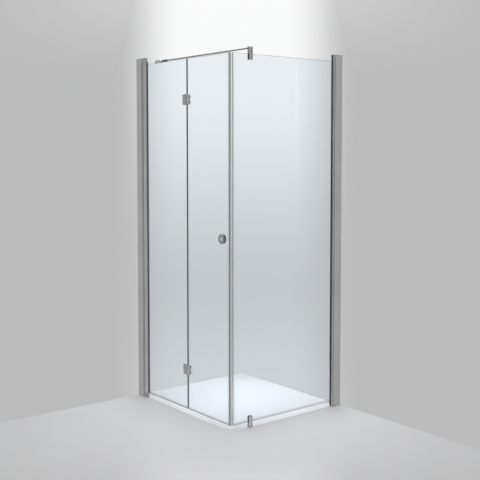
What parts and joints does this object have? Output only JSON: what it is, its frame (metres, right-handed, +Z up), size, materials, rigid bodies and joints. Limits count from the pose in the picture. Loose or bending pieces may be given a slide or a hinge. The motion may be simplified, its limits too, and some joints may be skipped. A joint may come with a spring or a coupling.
{
  "type": "corner shower enclosure",
  "caption": "Corner shower enclosure with a folding clear-glass door, a fixed glass side panel, bright wall profiles, a support bar and a round knob.",
  "frame": {"origin": "on the floor, in the middle of the footprint", "axes": "+X along the door from its wall to the side panel, +Y from the door into the shower, +Z up"},
  "size_m": [0.903, 0.803, 2.003],
  "materials": {
    "polished_aluminium": "bright polished extrusion",
    "chrome": "mirror bright",
    "dark_chrome": "dark bright metal",
    "cap_plastic": "silver grey, moulded",
    "clear_glass": "clear toughened, polished edges",
    "clear_vinyl": "clear soft extrusion",
    "grey_seal": "dark grey soft extrusion",
    "black_rubber": "matt black",
    "magnet_strip": "pale coated magnetic strip",
    "nylon": "white, turned",
    "steel": "stainless"
  },
  "bodies": {
    "frame": {"left_wall_channel": "polished_aluminium", "left_top_cap": "cap_plastic", "left_bottom_cap": "cap_plastic", "hinge_carrier": "polished_aluminium", "carrier_seal_strip": "grey_seal", "top_pivot_block": "cap_plastic", "bottom_pivot_block": "cap_plastic", "pivot_bushes": "nylon", "right_wall_channel": "polished_aluminium", "right_top_cap": "cap_plastic", "right_bottom_cap": "cap_plastic", "glazing_profile": "polished_aluminium", "profile_lock_screws": "steel", "panel_gasket_outside": "grey_seal", "panel_gasket_inside": "black_rubber", "panel_glass": "clear_glass", "panel_drip_seal": "clear_vinyl", "panel_magnet_holder": "clear_vinyl", "panel_magnet": "magnet_strip", "foot_clamp": "chrome", "foot_clamp_liner": "black_rubber", "foot_base_pad": "black_rubber", "bar_clamp": "chrome", "bar_clamp_liner": "black_rubber", "clamp_grub_screws": "steel", "bar_lock_screws": "steel", "support_bar": "chrome", "bar_wall_rosette": "chrome", "bar_socket": "chrome", "bar_locking_collar": "dark_chrome"},
    "inner_leaf": {"hinge_tube": "polished_aluminium", "leaf_gasket_inside": "grey_seal", "leaf_gasket_outside": "grey_seal", "pivot_pins": "steel", "inner_leaf_glass": "clear_glass", "inner_leaf_drip_seal": "clear_vinyl", "fold_seal": "grey_seal", "lower_hinge_inner_wing": "chrome", "upper_hinge_inner_wing": "chrome", "inner_glass_discs": "chrome", "inner_hinge_gaskets": "clear_vinyl", "inner_hinge_screws": "steel"},
    "outer_leaf": {"outer_leaf_glass": "clear_glass", "outer_leaf_drip_seal": "clear_vinyl", "door_magnet_holder": "clear_vinyl", "door_magnet": "magnet_strip", "knob_outside": "chrome", "knob_inside": "chrome", "knob_washers": "clear_vinyl", "knob_sleeve": "nylon", "knob_bolt": "steel", "lower_hinge_outer_wing": "chrome", "upper_hinge_outer_wing": "chrome", "outer_glass_discs": "chrome", "outer_hinge_gaskets": "clear_vinyl", "outer_hinge_screws": "steel", "fold_hinge_pins": "steel"}
  },
  "joints": [
    {"name": "leaf_pivot", "type": "hinge", "parent": "frame", "child": "inner_leaf", "pos_m": [-0.3755, -0.3835, 0], "axis": [0, 0, 1], "range_deg": [0, 90]},
    {"name": "leaf_fold", "type": "hinge", "parent": "inner_leaf", "child": "outer_leaf", "pos_m": [0.0485, -0.3955, 0], "axis": [0, 0, -1], "range_deg": [0, 175]}
  ]
}
